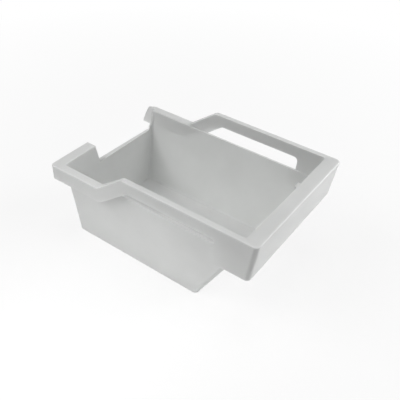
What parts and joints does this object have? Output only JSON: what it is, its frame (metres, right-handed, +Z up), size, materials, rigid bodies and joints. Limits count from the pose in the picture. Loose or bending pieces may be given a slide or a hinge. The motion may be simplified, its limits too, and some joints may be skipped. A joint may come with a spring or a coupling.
{
  "type": "freezer ice bin",
  "caption": "Freezer ice bin: deep tub with a stepped, turned-down rim, a hand opening in each side wall, a notched rear wall and a sloping front under an apron.",
  "frame": {"origin": "middle of the bin's outline in plan, on the surface that it stands on", "axes": "+X towards the front apron, +Y towards the side where the rear notch reaches the corner, +Z up"},
  "size_m": [0.3698, 0.24, 0.181],
  "materials": {
    "moulded_plastic": "satin moulded, pale grey"
  },
  "bodies": {
    "root": {"ice_bin": "moulded_plastic"}
  },
  "joints": []
}
